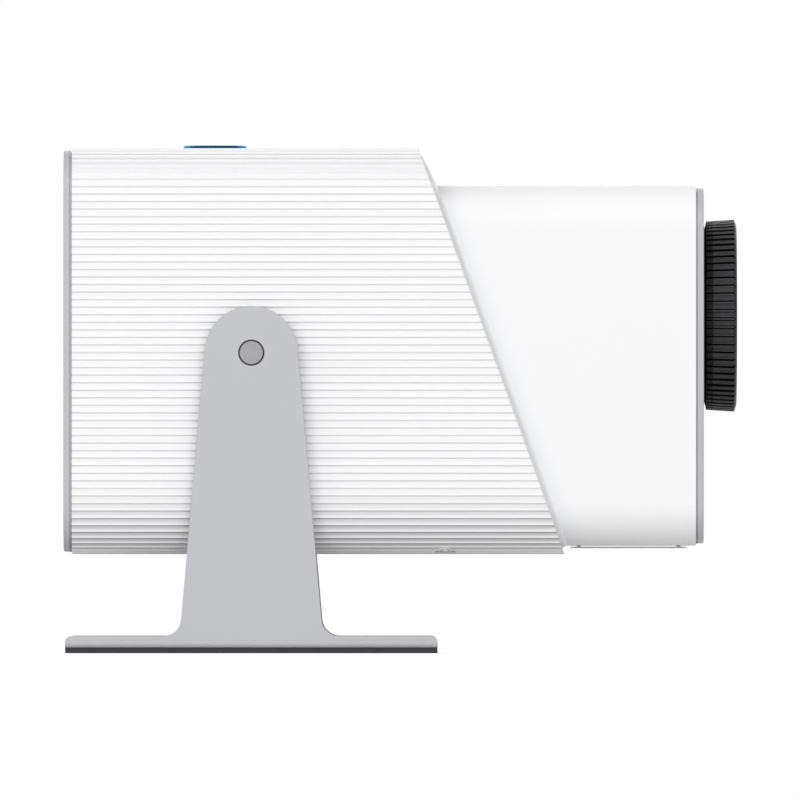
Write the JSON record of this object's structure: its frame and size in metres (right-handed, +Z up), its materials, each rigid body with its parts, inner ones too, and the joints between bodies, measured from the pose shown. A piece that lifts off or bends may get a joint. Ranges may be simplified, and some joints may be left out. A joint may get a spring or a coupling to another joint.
{
  "type": "compact video projector",
  "caption": "Box-shaped video projector head with a ribbed sleeve, slanted rim and smooth front, tilting in a folded sheet-metal yoke stand.",
  "frame": {"origin": "centre of the stand's underside, directly below the tilt axis", "axes": "+X is the way the lens points at rest, +Z is up, and +Y runs along the tilt axis to the left side"},
  "size_m": [0.2171, 0.1406, 0.1639],
  "materials": {
    "stand_paint": "fine satin light grey powder coat",
    "mat_rubber": "matt, faintly textured",
    "pin_metal": "satin light grey",
    "bare_steel": "bare steel",
    "sleeve_plastic": "fine matt white",
    "shell_plastic": "smooth satin white",
    "plate_grey": "smooth satin light grey",
    "ring_black": "semi-gloss black",
    "button_blue": "gloss blue",
    "button_white": "gloss white",
    "lens_glass": "coated clear glass",
    "barrel_black": "matt black anodised",
    "inner_black": "matt black",
    "clear_sheet": "clear sheet",
    "panel_dark": "dark display panel",
    "reflector": "bright reflector",
    "heatsink_alloy": "extruded alloy",
    "led_yellow": "pale ceramic with a yellow lamp face",
    "board_green": "solder-masked board",
    "socket_metal": "plated shell",
    "socket_black": "moulded black",
    "part_black": "component sleeving",
    "filter_foam": "open foam",
    "paper_cone": "black paper cone",
    "window_red": "dark infrared window"
  },
  "bodies": {
    "stand": {"stand_bracket": "stand_paint", "stand_mat": "mat_rubber", "tripod_nut": "bare_steel", "hinge_pin_right": "pin_metal", "hinge_pin_left": "pin_metal", "spacer_washers": "inner_black", "thrust_washers": "inner_black", "disc_springs": "bare_steel", "lock_nuts": "bare_steel"},
    "head": {"hinge_bushes": "inner_black", "hinge_plates": "bare_steel", "outer_sleeve": "sleeve_plastic", "front_shell": "shell_plastic", "front_panel": "plate_grey", "rear_cover": "plate_grey", "rear_cover_screws": "bare_steel", "service_cover": "shell_plastic", "dust_filter": "filter_foam", "button_ring": "button_blue", "button_board": "board_green", "lens_mount": "inner_black", "lens_guide": "inner_black", "lens_screws": "bare_steel", "infrared_window": "window_red", "engine_housing": "inner_black", "engine_cover": "inner_black", "engine_screws": "bare_steel", "heat_glass": "clear_sheet", "rear_fresnel": "clear_sheet", "lcd_panel": "panel_dark", "front_fresnel": "clear_sheet", "light_cone": "reflector", "led_module": "led_yellow", "led_heatsink": "heatsink_alloy", "exhaust_fan_frame": "inner_black", "intake_fan_frame": "inner_black", "chassis_tray": "bare_steel", "foot_screws": "bare_steel", "main_board": "board_green", "power_board": "board_green", "board_screws": "bare_steel", "processor_heatsink": "heatsink_alloy", "power_parts": "part_black", "power_inlet": "socket_black", "hdmi_socket": "socket_metal", "usb_socket": "socket_metal", "audio_jack": "socket_black", "speakers": "paper_cone"},
    "focus": {"focus_ring": "ring_black", "ring_clip": "bare_steel"},
    "lens": {"lens_barrel": "barrel_black", "front_lens": "lens_glass", "middle_lens": "lens_glass", "rear_lens": "lens_glass", "lens_retainers": "barrel_black"},
    "button": {"power_button_cap": "button_white"},
    "exhaust_fan": {"exhaust_fan_rotor": "inner_black"},
    "intake_fan": {"intake_fan_rotor": "inner_black"}
  },
  "joints": [
    {"name": "head_tilt", "type": "hinge", "parent": "stand", "child": "head", "pos_m": [0, 0, 0.0966], "axis": [0, -1, 0], "range_deg": [-12, 180]},
    {"name": "focus_turn", "type": "hinge", "parent": "head", "child": "focus", "pos_m": [0.15, 0, 0.10905], "axis": [1, 0, 0], "range_deg": [-90, 90]},
    {"name": "lens_slide", "type": "slide", "parent": "head", "child": "lens", "axis": [1, 0, 0], "range_m": [-0.0036, 0.0036]},
    {"name": "power_button_press", "type": "slide", "parent": "head", "child": "button", "axis": [0, 0, -1], "range_m": [0, 0.0005], "stiffness_N_per_m": 500, "springref_m": -0.0005},
    {"name": "exhaust_fan_spin", "type": "hinge", "parent": "head", "child": "exhaust_fan", "pos_m": [-0.05, 0, 0.10905], "axis": [1, 0, 0], "continuous": true},
    {"name": "intake_fan_spin", "type": "hinge", "parent": "head", "child": "intake_fan", "pos_m": [0.12175, 0, 0.044], "axis": [0, 0, 1], "continuous": true}
  ],
  "couplings": [
    {"joint": "lens_slide", "follows": "focus_turn", "m_per_rad": 0.00229}
  ]
}
